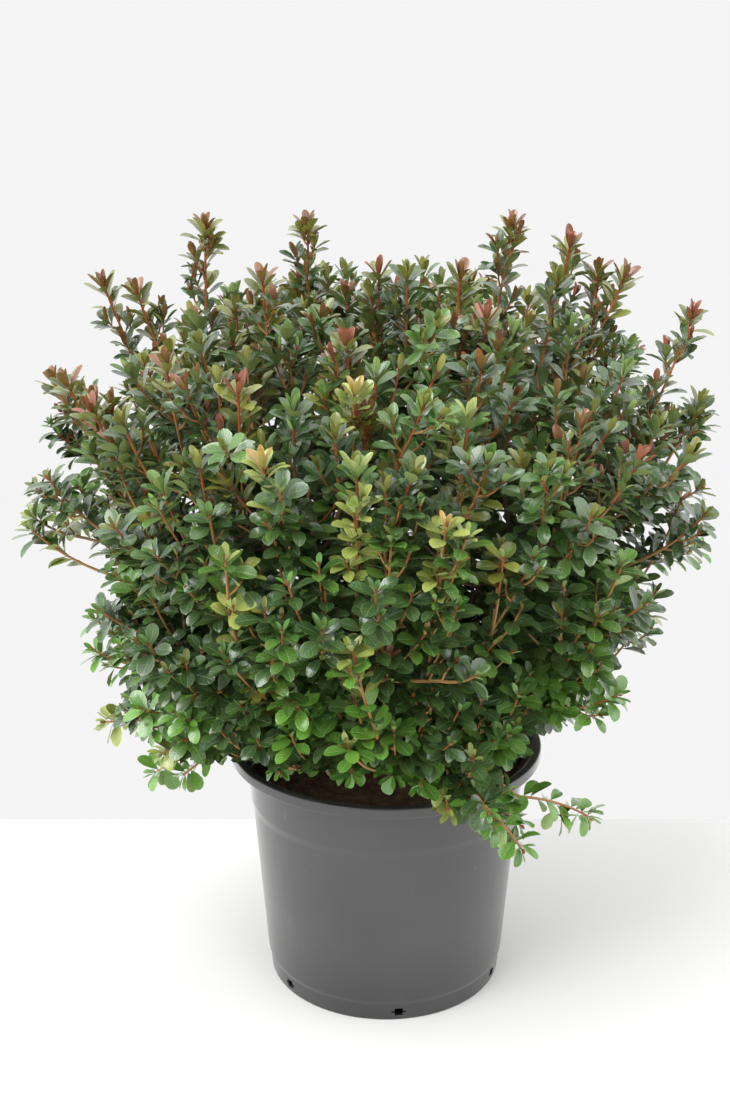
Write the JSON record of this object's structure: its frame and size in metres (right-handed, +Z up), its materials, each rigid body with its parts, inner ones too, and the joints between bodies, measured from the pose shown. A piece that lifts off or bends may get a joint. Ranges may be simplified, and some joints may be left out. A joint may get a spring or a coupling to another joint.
{
  "type": "potted azalea shrub",
  "caption": "Dense, broad-headed evergreen azalea shrub, not in flower, on a short branching stem in a tapered plastic nursery pot filled with compost.",
  "frame": {"origin": "centre of the pot's flat underside, where it stands", "axes": "+Z up through the pot's middle, +X to the shrub's right as seen from its front, which faces -Y"},
  "size_m": [0.7799, 0.7248, 0.8719],
  "materials": {
    "pot": "satin",
    "compost": "matte",
    "bark": "matte",
    "foliage": "satin"
  },
  "bodies": {
    "root": {"pot": "pot", "compost": "compost", "stem": "bark", "low_1_bough": "bark", "low_2_bough": "bark", "low_3_bough": "bark", "low_4_bough": "bark", "low_5_bough": "bark", "low_6_bough": "bark", "low_7_bough": "bark", "middle_1_bough": "bark", "middle_2_bough": "bark", "middle_3_bough": "bark", "middle_4_bough": "bark", "middle_5_bough": "bark", "middle_6_bough": "bark", "upper_1_bough": "bark", "upper_2_bough": "bark", "upper_3_bough": "bark", "upper_4_bough": "bark", "top_bough": "bark", "low_1_foliage": "foliage", "low_2_foliage": "foliage", "low_3_foliage": "foliage", "low_4_foliage": "foliage", "low_5_foliage": "foliage", "low_6_foliage": "foliage", "low_7_foliage": "foliage", "middle_1_foliage": "foliage", "middle_2_foliage": "foliage", "middle_3_foliage": "foliage", "middle_4_foliage": "foliage", "middle_5_foliage": "foliage", "middle_6_foliage": "foliage", "upper_1_foliage": "foliage", "upper_2_foliage": "foliage", "upper_3_foliage": "foliage", "upper_4_foliage": "foliage", "top_foliage": "foliage"}
  },
  "joints": []
}
